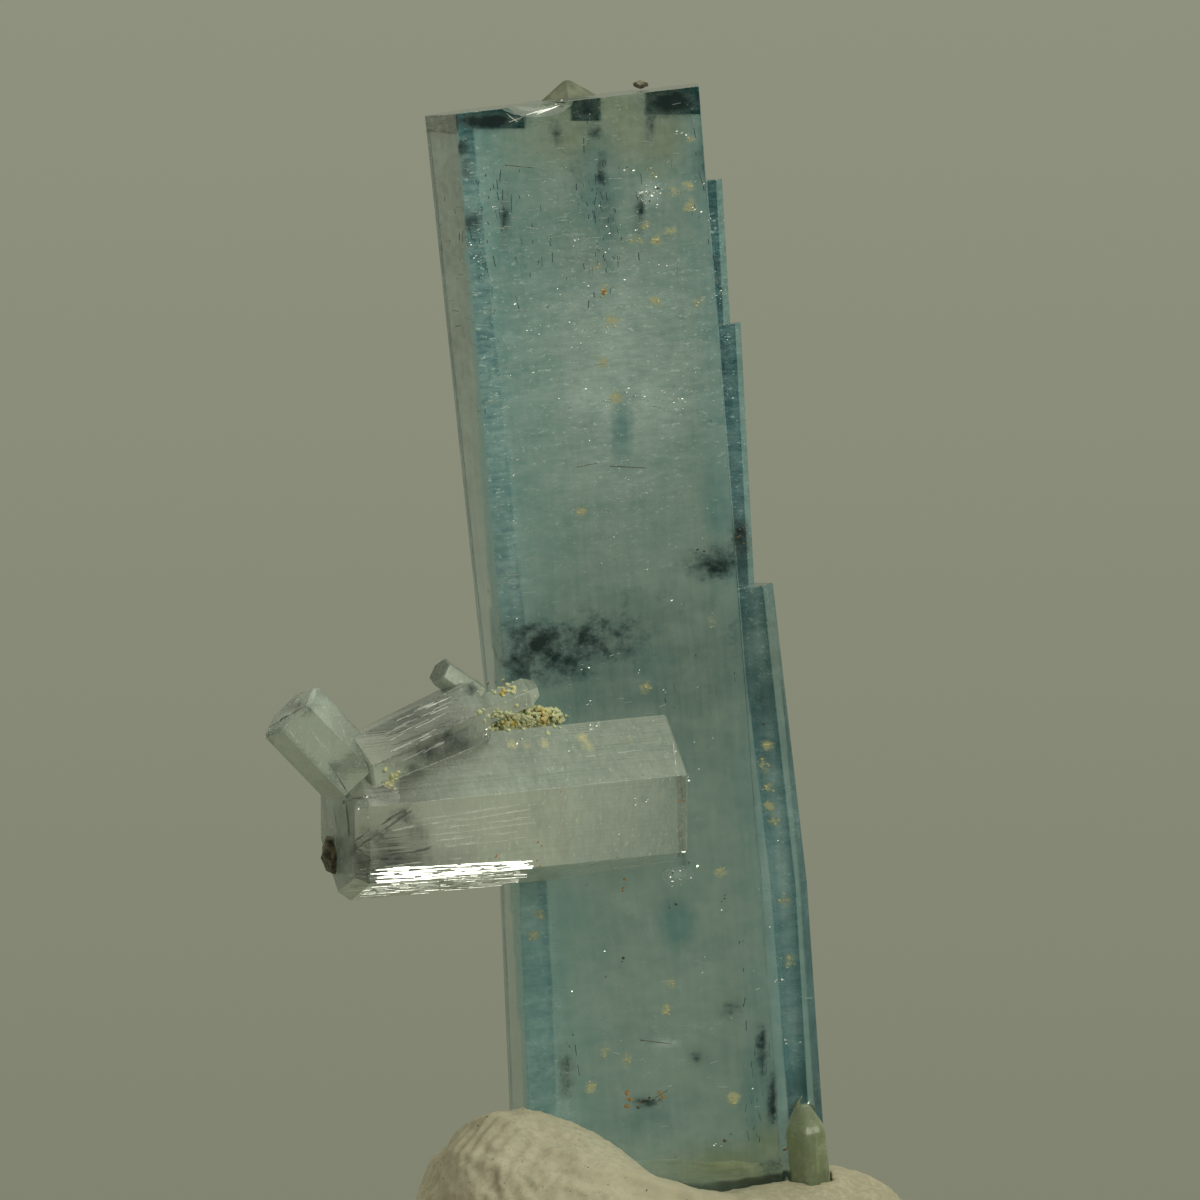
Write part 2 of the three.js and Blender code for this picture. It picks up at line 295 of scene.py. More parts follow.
# Bright broken edges at its ends and among the silky steps
BRIGHT_ROWS = [((352, 875 + 8 * row), (528 - 8 * row, 865 + 8 * row), 12) for row in range(3)]
END_STEPS = [
    ((672, 728), (675, 764), 7),
    ((680, 772), (682, 790), 6),
    ((679, 826), (681, 848), 8),
    ((345, 800), (375, 797), 5),
] + BRIGHT_ROWS
# Its finer growth lines, and those of the slanting crystal and the stub
GROWTH_LINES = [
    ((430, 818), (510, 806), 20),
    ((430, 824), (520, 811), 20),
    ((436, 829), (525, 818), 18),
    ((440, 834), (525, 824), 18),
    ((445, 839), (520, 831), 12),
    ((450, 846), (525, 838), 10),
    ((380, 833), (430, 822), 4),
    ((360, 868), (460, 858), 8),
    ((400, 716), (450, 696), 6),
    ((392, 730), (446, 706), 6),
    ((388, 740), (440, 716), 6),
    ((398, 748), (450, 724), 6),
    ((404, 760), (450, 738), 6),
    ((395, 722), (440, 702), 5),
    ((284, 722), (320, 770), 3),
    ((300, 712), (334, 762), 3),
    ((268, 738), (300, 786), 3),
    ((334, 806), (342, 870), 4),
    ((345, 800), (375, 797), 6),
    ((560, 760), (660, 748), 3),
]
# Dark lines in them
SMOKY_LINES = [
    ((395, 745), (450, 722), 10),
    ((400, 756), (452, 734), 12),
    ((420, 752), (468, 728), 10),
    ((390, 735), (430, 718), 5),
    ((352, 850), (420, 806), 14),
    ((356, 840), (400, 812), 8),
    ((360, 863), (440, 846), 12),
    ((346, 805), (350, 850), 5),
    ((268, 728), (306, 704), 6),
    ((330, 765), (346, 790), 5),
    ((455, 690), (480, 680), 6),
]
# Bright broken edges of the chip and of the aquamarine's top
CHIP_LINES = [
    ((515, 119), (545, 109), 6),
    ((545, 110), (580, 97), 7),
    ((470, 108), (515, 100), 5),
    ((505, 112), (520, 122), 3),
]

# Short marks in the aquamarine's front, strewn over zones: (x, y, half width, half height, count)

WISPS = [
    (600, 210, 80, 60, 130), (560, 280, 70, 60, 120), (600, 350, 70, 70, 110), (620, 450, 70, 60, 24),
    (475, 255, 8, 24, 24), (640, 402, 40, 6, 40), (590, 700, 40, 30, 24), (660, 1040, 60, 40, 24),
    (520, 560, 10, 60, 16),
]
BLUE_DASHES = [
    (478, 215, 18, 26, 34), (598, 200, 10, 44, 46), (608, 235, 8, 26, 16), (640, 214, 4, 16, 9),
    (560, 262, 30, 14, 18), (697, 165, 8, 40, 16), (505, 215, 4, 26, 12), (490, 290, 12, 60, 14),
    (530, 230, 40, 40, 16), (760, 1080, 6, 50, 24), (570, 1070, 6, 30, 10), (690, 690, 30, 40, 10),
    (745, 1020, 4, 80, 8),
]

# Stained and dark grains, as pixels of the photograph

YELLOW_FLECKS = [
    (636, 240), (644, 226), (655, 301), (604, 363), (612, 322), (581, 510), (712, 622), (645, 688),
    (672, 190), (689, 186), (604, 288), (616, 398), (596, 268), (690, 140), (655, 175), (673, 983),
    (604, 1052), (592, 1088), (626, 1060), (733, 1098), (765, 768), (768, 786), (770, 806), (774, 820),
    (762, 762), (785, 900), (790, 960), (540, 915), (533, 935), (667, 1010), (720, 872), (768, 745),
    (672, 230), (690, 205), (656, 240), (700, 300),
]
ORANGE_FLECKS = [
    (619, 887), (627, 1096), (630, 1104), (664, 1094), (607, 293), (536, 850), (789, 1150), (790, 1138),
]
SPRAY_YELLOW = [
    (513, 744), (526, 746), (546, 743), (582, 738), (588, 745), (630, 740), (393, 776), (390, 784),
]
SPRAY_ORANGE = [
    (537, 847), (538, 858), (540, 868), (682, 730), (681, 754), (555, 790), (492, 862), (683, 800),
]
DARK_SPECKS = [
    (745, 530), (742, 536), (744, 542), (725, 900), (670, 903), (626, 962), (677, 1159), (728, 1135),
    (762, 722), (770, 1118), (789, 1139), (704, 556), (638, 1104), (646, 1101), (654, 1097),
    (661, 1093),
]
YELLOW_STAINS = np.array([(x, y, 10, 9, 0.8) for x, y in YELLOW_FLECKS])
SPRAY_STAINS = np.array([(x, y, 9, 8, 0.65) for x, y in SPRAY_YELLOW])
# Both ends of the dark rods
DARK_NEEDLES = [
    ((505, 165), (534, 168)), ((477, 411), (494, 411)), ((577, 467), (598, 463)),
    ((610, 466), (646, 468)), ((714, 255), (722, 300)), ((598, 768), (606, 771)),
    ((640, 1040), (672, 1044)), ((655, 1098), (668, 1090)),
]
NEEDLE_RADIUS = 0.017 * MM

# Crust: granules on its solid, and patches of them on the crystals: (x, y, half width, half height, count)

CRUST_GRANULES = 620
CRUST_PATCHES = [
    (505, 718, 12, 6, 60),
    (535, 720, 14, 4, 60),
    (500, 688, 9, 4, 24),
    (392, 780, 5, 6, 16),
]

# Putty

PUTTY_VOXEL = 0.13 * MM
RIDGE_PITCH = 0.49 * MM
RIDGE_HEIGHT = 0.06 * MM
RIDGE_BEND = 0.3 * MM
RIDGE_CENTRE = Vector((-1.5, -14.0, 9.5)) * MM
# How near the crystals and the foot the putty's relief dies out
CRYSTAL_MARGIN = 0.9 * MM
FOOT_MARGIN = 0.6 * MM

# Floor

FLOOR_RADIUS = 21 * MM
FLOOR_FADE = (15 * MM, 20 * MM)


# Places in the photograph


def photo_ray(x, y):
    """The direction from the camera through a pixel of the photograph."""
    across = Vector(((x - PHOTO_MIDDLE) * PIXEL, 0, 0))
    upward = CAMERA_UP * ((PHOTO_MIDDLE - y) * PIXEL)
    return (CAMERA_TARGET + across + upward - CAMERA_PLACE).normalized()


def photo_spot(point):
    """The pixel of the photograph that a point of the part falls on."""
    away = point - CAMERA_PLACE
    scale = CAMERA_DISTANCE / (away.dot(CAMERA_FORWARD) * PIXEL)
    return PHOTO_MIDDLE + away.x * scale, PHOTO_MIDDLE - away.dot(CAMERA_UP) * scale


def on_front(trees, x, y):
    """The place on the crystals' front under a pixel of the photograph, or None beside them."""
    direction = photo_ray(x, y)
    hits = [tree.ray_cast(CAMERA_PLACE, direction) for tree in trees]
    hits = [(distance, place) for place, _, _, distance in hits if place]
    return min(hits)[1] if hits else None


def cloud_at(spot, patches):
    """How strongly the soft patches cover a pixel, from 0 to their strength."""
    x, y, half_width, half_height, strength = patches.T
    away = np.hypot((spot[0] - x) / half_width, (spot[1] - y) / half_height)
    return float(np.max(strength * np.clip(1.35 - away, 0.0, 1.0)))


# Building helpers


def object_from(bm, name, material, smooth=False):
    """A new object of the mesh in bm, which is used up."""
    mesh = bpy.data.meshes.new(name)
    bm.normal_update()
    bm.to_mesh(mesh)
    bm.free()
    mesh.polygons.foreach_set("use_smooth", [smooth] * len(mesh.polygons))
    mesh.materials.append(material)
    piece = bpy.data.objects.new(name, mesh)
    bpy.context.scene.collection.objects.link(piece)
    return piece


def keep(piece, slot, *nodes):
    """Fixes a piece to the specimen and hides the solids it stands for; its slot, the finish it takes, is
    not used.
    """
    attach(piece, "root")
    if nodes:
        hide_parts(*nodes)


def tree_of(node):
    """A search tree over a node's faces."""
    bm = bmesh.new()
    bm.from_mesh(NODES[node].data)
    tree = BVHTree.FromBMesh(bm)
    bm.free()
    return tree


def remeshed(node, name, voxel):
    """A copy of a node's mesh with even faces of about one voxel."""
    mesh = NODES[node].data.copy()
    mesh.name = name
    mesh.materials.clear()
    piece = bpy.data.objects.new(name, mesh)
    bpy.context.scene.collection.objects.link(piece)
    modifier = piece.modifiers.new("even", "REMESH")
    modifier.mode = "VOXEL"
    modifier.voxel_size = voxel
    graph = bpy.context.evaluated_depsgraph_get()
    even = bpy.data.meshes.new_from_object(piece.evaluated_get(graph))
    piece.modifiers.clear()
    piece.data = even
    even.name = name
    even.polygons.foreach_set("use_smooth", [True] * len(even.polygons))
    return piece


def close_prism(bm, low, high):
    """Closes two rings of corners to a flat-ended body."""
    bm.faces.new(reversed(low))
    bm.faces.new(high)
    for i in range(len(low)):
        j = (i + 1) % len(low)
        bm.faces.new((low[i], low[j], high[j], high[i]))


def add_blob(bm, centre, radii, rng, roughness):
    """An uneven grain."""
    made = bmesh.ops.create_icosphere(bm, subdivisions=2, radius=1.0)
    offset = Vector(rng.uniform(-50, 50, 3))
    turn = Matrix.Rotation(rng.uniform(-0.6, 0.6), 3, "Y")
    for vert in made["verts"]:
        bulge = 1 + roughness * noise.noise(vert.co * 1.6 + offset)
        vert.co = centre + turn @ Vector(a * b * bulge for a, b in zip(vert.co, radii))


def add_flake(bm, centre, normal, size, rng):
    """A thin plate with an uneven outline."""
    across = normal.orthogonal().normalized()
    along = normal.cross(across)
    spin = rng.uniform(0, math.tau)
    stretch = rng.uniform(0.2, 0.8)
    sides = 6
    rings = []
    for face in (-0.5, 0.5):
        ring = []
        for i in range(sides):
            angle = spin + math.tau * (i + rng.uniform(-0.25, 0.25)) / sides
            point = centre + normal * (face * FLAKE_THICKNESS)
            point += (across * math.cos(angle) + along * (math.sin(angle) * stretch)) * size
            ring.append(bm.verts.new(point))
        rings.append(ring)
    close_prism(bm, *rings)


def add_needle(bm, start, end, radius):
    """A thin six-sided rod."""
    axis = end - start
    made = bmesh.ops.create_cone(
        bm, cap_ends=True, segments=6, radius1=radius, radius2=radius * 0.6, depth=axis.length
    )
    turn = Vector((0, 0, 1)).rotation_difference(axis.normalized()).to_matrix()
    for vert in made["verts"]:
        vert.co = (start + end) / 2 + turn @ vert.co


def add_strip(bm, start, end, normal, half_width):
    """A thin flat bar facing about along normal."""
    along = (end - start).normalized()
    face = (normal - along * normal.dot(along)).normalized()
    across = along.cross(face) * half_width
    lift = face * (0.15 * half_width)
    corners = [
        bm.verts.new(place + side * across + level * lift)
        for level in (-1, 1)
        for place, side in ((start, -1), (end, -1), (end, 1), (start, 1))
    ]
    close_prism(bm, corners[:4], corners[4:])


# Shader nodes


class Shade:
    """The node tree of a material or a world, with short calls for the nodes used here."""

    def __init__(self, owner):
        owner.use_nodes = True
        self.owner = owner
        self.tree = owner.node_tree
        self.tree.nodes.clear()
        coordinates = self.node("ShaderNodeTexCoord").outputs
        self.place = coordinates["Object"]
        self.direction = coordinates["Generated"]

    def node(self, kind, inputs=None, **settings):
        node = self.tree.nodes.new(kind)
        for key, value in settings.items():
            setattr(node, key, value)
        for key, value in (inputs or {}).items():
            if isinstance(value, bpy.types.NodeSocket):
                self.tree.links.new(value, node.inputs[key])
            else:
                node.inputs[key].default_value = value
        return node

    def math(self, operation, a, b=0.0, c=0.0):
        return self.node("ShaderNodeMath", {0: a, 1: b, 2: c}, operation=operation).outputs[0]

    def vector(self, operation, a, b=(0.0, 0.0, 0.0)):
        return self.node("ShaderNodeVectorMath", {0: a, 1: b}, operation=operation).outputs

    def axes(self, vector):
        return self.node("ShaderNodeSeparateXYZ", {0: vector}).outputs

    def painted(self, layer):
        """What a paint layer of the mesh says."""
        return self.node("ShaderNodeAttribute", attribute_name=layer).outputs

    def along(self, axis, across=1.0, down=1.0):
        """Coordinates whose z runs along axis, scaled by across and down."""
        side = axis.orthogonal().normalized()
        if abs(axis.z) > 0.5:
            side = Vector((0, 1, 0)).cross(axis).normalized()
        rows = [side * across, axis.cross(side) * across, axis * down]
        parts = [self.vector("DOT_PRODUCT", self.place, row)["Value"] for row in rows]
        return self.node("ShaderNodeCombineXYZ", dict(enumerate(parts))).outputs[0]

    def noise(self, vector, scale, detail=3.0, roughness=0.55, seed=0.0):
        moved = self.vector("ADD", vector, (seed, -seed, seed))[0]
        inputs = {"Vector": moved, "Scale": scale, "Detail": detail, "Roughness": roughness}
        return self.node("ShaderNodeTexNoise", inputs).outputs["Fac"]

    def between(self, value, low, high, to_low=0.0, to_high=1.0, interpolation="SMOOTHSTEP"):
        inputs = {"Value": value, 1: low, 2: high, 3: to_low, 4: to_high}
        return self.node("ShaderNodeMapRange", inputs, interpolation_type=interpolation).outputs[0]

    def mix(self, factor, a, b, blend="MIX"):
        inputs = {"Factor": factor, 6: a, 7: b}
        return self.node("ShaderNodeMix", inputs, data_type="RGBA", blend_type=blend).outputs[2]

    def gamma(self, tint, power):
        return self.node("ShaderNodeGamma", {0: tint, 1: power}).outputs[0]

    def bump(self, height, distance, normal=None):
        inputs = {"Height": height, "Distance": distance, "Strength": 1.0}
        if normal is not None:
            inputs["Normal"] = normal
        return self.node("ShaderNodeBump", inputs).outputs[0]

    def finish(self, inputs, absorption=None):
        """Ends a material with one surface shader, and what the body absorbs."""
        surface = self.node("ShaderNodeBsdfPrincipled", inputs).outputs[0]
        output = self.node("ShaderNodeOutputMaterial", {"Surface": surface})
        if absorption:
            tint, density = absorption
            volume = self.node("ShaderNodeVolumeAbsorption", {"Color": tint, "Density": density})
            self.tree.links.new(volume.outputs[0], output.inputs["Volume"])
        return self.owner


def new_shade(name):
    return Shade(bpy.data.materials.new(name))


def colour(red, green, blue):
    return (red, green, blue, 1.0)


# Crystal material


def striations(shade, axis, distance):
    """Fine growth lines along a crystal's axis, over broad low swells and a few pits."""
    lines = shade.noise(shade.along(axis, 1.0, 0.02), 9000, 4.0, 0.6)
    swells = shade.noise(shade.along(axis, 1.0, 0.25), 700, 2.0, 0.5, 0.06)
    pits = shade.noise(shade.along(axis, 1.0, 0.5), 16000, 2.0, 0.6, 0.08)
    lined = shade.bump(lines, distance)
    swelling = shade.bump(swells, distance * 5, lined)
    return shade.bump(shade.between(pits, 0.7, 0.8), 2e-6, swelling)


def crystal_haze(shade, axis, swells, dashes, mottle, seed):
    """How milky a crystal is: its paint, uneven, with fine lines and dust that grow stronger higher up."""
    milk = shade.painted("milk")["Fac"]
    dust = shade.noise(shade.along(axis, 0.5, 1.0), 9500, 2.0, 0.5, seed + 0.04)
    height = shade.axes(shade.place)["Z"]
    stronger = shade.between(height, 20 * MM, 37 * MM, 0.9 - 0.55 * mottle, 1.9)
    inside = shade.math("MULTIPLY", shade.between(milk, 0.0, 0.08), stronger)
    uneven = shade.between(swells, 0.3, 0.7, 1 - 0.3 * mottle, 1 + 0.25 * mottle)
    haze = shade.math("MULTIPLY", milk, uneven)
    lines = shade.between(dashes, 0.3, 0.74, -0.06, 0.14)
    specks = shade.between(dust, 0.62, 0.72, 0.0, 0.32)
    wisps = shade.math("MULTIPLY", shade.math("ADD", lines, specks), inside)
    return shade.node("ShaderNodeClamp", {0: shade.math("ADD", haze, wisps)}).outputs[0]


def crystal_glass(shade, axis, tint, swells, mottle, seed):
    """A crystal's own tint, deeper and paler in runs along it and in blots that grow stronger higher up."""
    runs = shade.noise(shade.along(axis, 1.0, 0.1), 3800, 5.0, 0.65, seed + 0.02)
    blots = shade.noise(shade.along(axis, 0.8, 1.0), 3000, 5.0, 0.62, seed + 0.05)
    busy = shade.between(shade.axes(shade.place)["Z"], 27 * MM, 36 * MM, 0.25, 1.5)
    uneven = shade.math("MULTIPLY_ADD", shade.math("SUBTRACT", blots, 0.5), busy, 1.0)
    fine = shade.between(runs, 0.25, 0.75, 0.84, 1.18)
    broad = shade.between(swells, 0.3, 0.7, 1 + 0.4 * mottle, 1 - 0.28 * mottle)
    depth = shade.math("MULTIPLY", shade.math("MULTIPLY", fine, broad), uneven)
    return shade.gamma(tint, depth)


def painted_crystal(name, axis, relief, milky, mottle, absorption, seed):
    """Clear crystal with haze, inky patches, stains and tinted zones where its mesh is painted so; some
    inky patches are painted dark reflections.
    """
    shade = new_shade(name)
    paint = shade.painted("tint")
    swells = shade.noise(shade.along(axis, 0.7, 1.0), 900, 7.0, 0.66, seed)
    dashes = shade.noise(shade.along(axis, 0.3, 1.0), 5200, 6.0, 0.7, seed + 0.01)
    ink = shade.noise(shade.along(axis, 0.8, 1.0), 1900, 9.0, 0.74, seed + 0.03)
    grain = shade.math("MULTIPLY", shade.math("SUBTRACT", ink, 0.5), 2.4)

    cloudy = crystal_haze(shade, axis, swells, dashes, mottle, seed)
    glass = crystal_glass(shade, axis, paint["Color"], swells, mottle, seed)
    white = shade.mix(1.0, shade.gamma(paint["Color"], 0.35), milky, "MULTIPLY")

    # Inky patches from the dark paint: dark clouds, and painted dark reflections
    inky = shade.math("MULTIPLY_ADD", shade.painted("dark")["Fac"], 1.1, grain)
    patch = shade.between(inky, 0.35, 1.35, 0.0, 0.95)
    stained = shade.math("MULTIPLY_ADD", paint["Alpha"], 1.2, grain)
    stain = shade.between(stained, 0.5, 1.05, 0.0, 0.8)
    rust = shade.mix(shade.between(dashes, 0.57, 0.7), YELLOW_STAIN, ORANGE_STAIN)

    body = shade.mix(stain, shade.mix(cloudy, glass, white), rust)
    opaque = shade.math("MAXIMUM", shade.math("MAXIMUM", cloudy, patch), stain)
    film = shade.noise(shade.place, 2600, 3.0, 0.6, 0.04)
    return shade.finish(
        {
            "Base Color": shade.mix(patch, body, DARK_TINT),
            "Roughness": shade.between(film, 0.45, 0.8, 0.012, 0.07),
            "IOR": BERYL_IOR,
            "Transmission Weight": shade.math("SUBTRACT", 1.0, opaque),
            "Normal": striations(shade, axis, relief),
        },
        absorption=absorption,
    )


# Other materials


def pale_mineral_material():
    shade = new_shade("pale_mineral")
    grain = shade.noise(shade.place, 1500, 5.0, 0.6, 0.05)
    tint = shade.mix(shade.between(grain, 0.35, 0.7), colour(0.58, 0.66, 0.4), colour(0.82, 0.88, 0.66))
    return shade.finish(
        {
            "Base Color": tint,
            "Roughness": shade.between(grain, 0.3, 0.75, 0.03, 0.25),
            "IOR": 1.55,
            "Transmission Weight": 0.7,
            "Normal": shade.bump(shade.noise(shade.place, 5000, 4.0, 0.6), 6e-6),
        },
        absorption=(colour(0.65, 0.75, 0.45), 16.0),
    )


def cap_material():
    shade = new_shade("cap_mineral")
    grain = shade.noise(shade.place, 1800, 5.0, 0.6, 0.07)
    tint = shade.mix(shade.between(grain, 0.35, 0.7), colour(0.16, 0.18, 0.11), colour(0.36, 0.39, 0.26))
    return shade.finish(
        {
            "Base Color": tint,
            "Roughness": shade.between(grain, 0.3, 0.7, 0.25, 0.5),
            "IOR": 1.5,
            "Transmission Weight": 0.35,
            "Normal": shade.bump(shade.noise(shade.place, 5000, 4.0, 0.6), 3e-6),
        }
    )


def dark_mineral_material():
    shade = new_shade("dark_mineral")
    grain = shade.noise(shade.place, 4000, 5.0, 0.65, 0.12)
    tint = shade.mix(shade.between(grain, 0.35, 0.7), colour(0.035, 0.03, 0.022), colour(0.34, 0.29, 0.19))
    return shade.finish(
        {
            "Base Color": tint,
            "Roughness": shade.between(grain, 0.3, 0.7, 0.3, 0.7),
            "Normal": shade.bump(grain, 2e-5),
        }
    )


def crust_material():
    shade = new_shade("iron_stain")
    grain = shade.noise(shade.place, 1500, 5.0, 0.65, 0.09)
    fine = shade.noise(shade.place, 9000, 4.0, 0.6, 0.1)
    ochre = shade.mix(shade.between(grain, 0.32, 0.48), colour(0.95, 0.6, 0.12), colour(0.99, 0.91, 0.52))
    tint = shade.mix(shade.between(fine, 0.55, 0.72), ochre, colour(0.97, 0.92, 0.74))
    return shade.finish(
        {
            "Base Color": tint,
            "Roughness": shade.between(fine, 0.3, 0.7, 0.35, 0.8),
            "Subsurface Weight": 0.3,
            "Subsurface Scale": 0.3 * MM,
            "Normal": shade.bump(fine, 2e-5),
        }
    )


def putty_material():
    """Off-white putty with painted shade that makes it darker and greyer on the right, and fine dark
    specks.
    """
    shade = new_shade("putty")
    broad = shade.noise(shade.place, 260, 4.0, 0.6, 0.13)
    fine = shade.noise(shade.place, 3500, 5.0, 0.65, 0.14)
    specks = shade.noise(shade.place, 6000, 2.0, 0.5, 0.15)
    base = shade.mix(shade.between(broad, 0.35, 0.7), colour(0.72, 0.66, 0.48), colour(0.8, 0.74, 0.57))
    # Painted shade: darker and greyer towards the right, to tone down the light that falls there
    rightward = shade.between(shade.axes(shade.place)["X"], -3 * MM, 5 * MM)
    right_shade = shade.mix(rightward, base, colour(0.48, 0.44, 0.31))
    shaded = shade.mix(shade.between(fine, 0.3, 0.6), colour(0.62, 0.56, 0.41), right_shade)
    tint = shade.mix(shade.between(specks, 0.7, 0.76), shaded, colour(0.14, 0.12, 0.08))
    rough = shade.bump(fine, 1.2e-5)
    return shade.finish(
        {
            "Base Color": tint,
            "Roughness": 0.88,
            "Subsurface Weight": 0.12,
            "Subsurface Scale": 0.4 * MM,
            "Normal": shade.bump(shade.noise(shade.place, 14000, 3.0, 0.6), 4e-6, rough),
        }
    )


def plain_material(name, tint, roughness, metallic=0.0):
    """A small mark's finish: one tint broken up by fine noise."""
    shade = new_shade(name)
    grain = shade.noise(shade.place, 6000, 4.0, 0.6, 0.16)
    dim = colour(*(0.75 * part for part in tint[:3]))
    return shade.finish(
        {
            "Base Color": shade.mix(shade.between(grain, 0.35, 0.65), dim, tint),
            "Roughness": roughness,
            "Metallic": metallic,
        }
    )


# Paint on the crystals: milk, dark, tint and stain at a point


def blend(first, second, share):
    return Vector(first).lerp(Vector(second), min(1.0, max(0.0, share)))


def back_paint(normal):
    """The aquamarine's back, clear but for a thin blue haze on its left facet."""
    if normal.x < -0.3:
        return 0.3, 0.0, Vector(BLUE_TINT), 0.0
    return 0.0, 0.0, Vector(CLEAR_TINT), 0.0


def left_facet_paint(spot):
    """The aquamarine's left facet: grey above and clearer below, painted shade and light that even out how
    light falls along it, with a hazy top and rusty stains.
    """
    milk = np.interp(spot[1], [132, 140], [0.7, 0.0])
    tint = blend(FACET_HIGH, FACET_LOW, np.interp(spot[1], [250, 650], [0, 1]))
    return milk, 0.0, tint, cloud_at(spot, FACET_STAINS)


def left_edge_milk(spot, from_left):
    """Haze along the front's left edge, over the facet and the edge that show through from behind."""
    border = np.interp(spot[1], [600, 800], [1.06, 0.7])
    past_facet = from_left - np.interp(spot[1], *FACET_REACH)
    across = np.interp(past_facet, [-6, 1, 6, 12, 40], [1, border, border, 0.4, 0])
    return across * np.interp(spot[1], [130, 200, 400, 640], [0.2, 0.58, 0.55, 0.58])


def front_tint(spot, from_left, past_right, blue):
    """The front's tint: a grey-green core with an olive top, deep blue clouds and blue edges."""
    tint = blend(CORE_TINT, TOP_TINT, np.interp(spot[1], [145, 180], [1, 0]))
    tint = blend(tint, DEEP_TINT, blue)
    tint = blend(tint, EDGE_TINT, np.interp(from_left, [0, 20, 50, 100], [1, 0.95, 0.55, 0]))
    tint = blend(tint, BLUE_TINT, np.interp(past_right, [-36, -8], [0, 0.55]))
    return blend(tint, OLIVE_TINT, cloud_at(spot, OLIVE_STAINS))


def lath_paint(tree, point, past_right, swell, tint):
    """Milk and tint of the narrow prisms on the right, blue at the seam and along their own right sides."""
    inside = Vector((point.x, 0.97 * point.y, point.z))
    to_rim = tree.ray_cast(inside, Vector((1, 0, 0)))[3] or 0.0
    rim = np.interp(to_rim, [0, 0.5 * BLUE_RIM, BLUE_RIM], [0.85, 0.35, 0.0])
    seam = np.interp(past_right, [0, 10, 22], [1.0, 0.7, 0.0])
    milk = (0.36 + 0.3 * swell) * (1 - max(0.65 * rim, 0.6 * seam))
    return milk, blend(blend(tint, BLUE_TINT, seam), RIM_TINT, rim)


def front_paint(tree, point, spot, from_left):
    """The aquamarine's front: a hazy core, blue edges, narrow prisms on the right, and clouds, whose dark
    patches along the top are painted reflections.
    """
    past_right = spot[0] - np.interp(spot[1], *RIGHT_EDGE)
    swell = 0.5 + noise.fractal(point * 260, 1.0, 2.0, 3)
    core = np.interp(spot[1], *MILKINESS) * np.interp(from_left, *MILK_ACROSS) * (0.75 + 0.5 * swell)
    white = 0.8 * cloud_at(spot, WHITE_CLOUDS)
    blue = cloud_at(spot, BLUE_CLOUDS)
    milk = max(0.02, core, white, left_edge_milk(spot, from_left)) * (1 - 0.7 * min(1.0, blue))
    tint = front_tint(spot, from_left, past_right, blue)
    if past_right > -2:
        milk, tint = lath_paint(tree, point, past_right, swell, tint)
    dark = cloud_at(spot, DARK_CLOUDS_AND_REFLECTIONS)
    dusk = max(0.8 * dark, np.interp(spot[1], *DUSKINESS))
    return milk, dark, blend(tint, DUSK_TINT, dusk), cloud_at(spot, YELLOW_STAINS)


def aquamarine_paint(tree, point, normal):
    """The aquamarine, by its foot, back, top, left facet and front."""
    spot = photo_spot(point)
    from_left = spot[0] - np.interp(spot[1], *LEFT_EDGE)
    if point.z < FOOT:
        return 0.95, 0.0, Vector(FOOT_TINT), 0.0
    if normal.y > 0.3:
        return back_paint(normal)
    if normal.z > 0.6:
        return 0.0, 0.0, Vector(CLEAR_TINT), 0.0
    if from_left < -1.5:
        return left_facet_paint(spot)
    return front_paint(tree, point, spot, from_left)


def spray_paint(tree, point, normal):
    """The colourless crystals: frosted on the right, with painted dark reflections and smoky zones on the
    left, milky underneath as a painted sheen, and painted shade on their upward faces.
    """
    spot = photo_spot(point)
    swell = 0.5 + noise.fractal(point * 300, 1.0, 2.0, 3)
    milk = np.interp(spot[0], *FROSTING) * (0.85 + 0.3 * swell)
    tint = blend(PRISM_TINT, STUB_TINT, np.interp(spot[0], [330, 380], [1, 0]))
    if normal.y > 0.2:
        milk *= 0.2
    # Upward faces: milkier, with the milk in a darker tint that is painted shade against the light from
    # overhead
    elif normal.z > 0.3 and spot[0] > 400:
        milk = max(milk, np.interp(spot[0], [400, 470], [0.1, 0.72]))
        tint = Vector(TOP_SHADE_TINT)
    # Facets underneath: thick milk, a painted sheen standing in for the bright light they turn back
    elif normal.z < -0.3 and spot[0] < 540:
        milk = 0.8
    smoke = cloud_at(spot, SMOKY_CLOUDS)
    milk *= 1 - 0.85 * min(1.0, smoke)
    tint = blend(tint, SMOKE_TINT, smoke)
    # Their dark paint holds the painted dark reflections
    return milk, cloud_at(spot, SPRAY_DARK_REFLECTIONS), tint, cloud_at(spot, SPRAY_STAINS)


# Crystals


def cut_in_squares(bm, side):
    """Splits the faces along even planes, so that paint on the vertices has room to vary."""
    for axis in range(3):
        normal = Vector(float(i == axis) for i in range(3))
        values = [vert.co[axis] for vert in bm.verts]
        for step in range(int(min(values) / side) - 1, int(max(values) / side) + 2):
            geometry = bm.verts[:] + bm.edges[:] + bm.faces[:]
            plane = normal * (step * side)
            bmesh.ops.bisect_plane(bm, geom=geometry, dist=WELD / 2, plane_co=plane, plane_no=normal)


def paint_crystal(bm, tree, paint):
    """Lays a crystal's paint on its vertices."""
    cut_in_squares(bm, PAINT_SQUARE)
    milk = bm.verts.layers.float.new("milk")
    dark = bm.verts.layers.float.new("dark")
    tint = bm.verts.layers.float_color.new("tint")
    bm.normal_update()
    for vert in bm.verts:
        vert[milk], vert[dark], shade, stain = paint(tree, vert.co, vert.normal)
        vert[tint] = (*shade, stain)


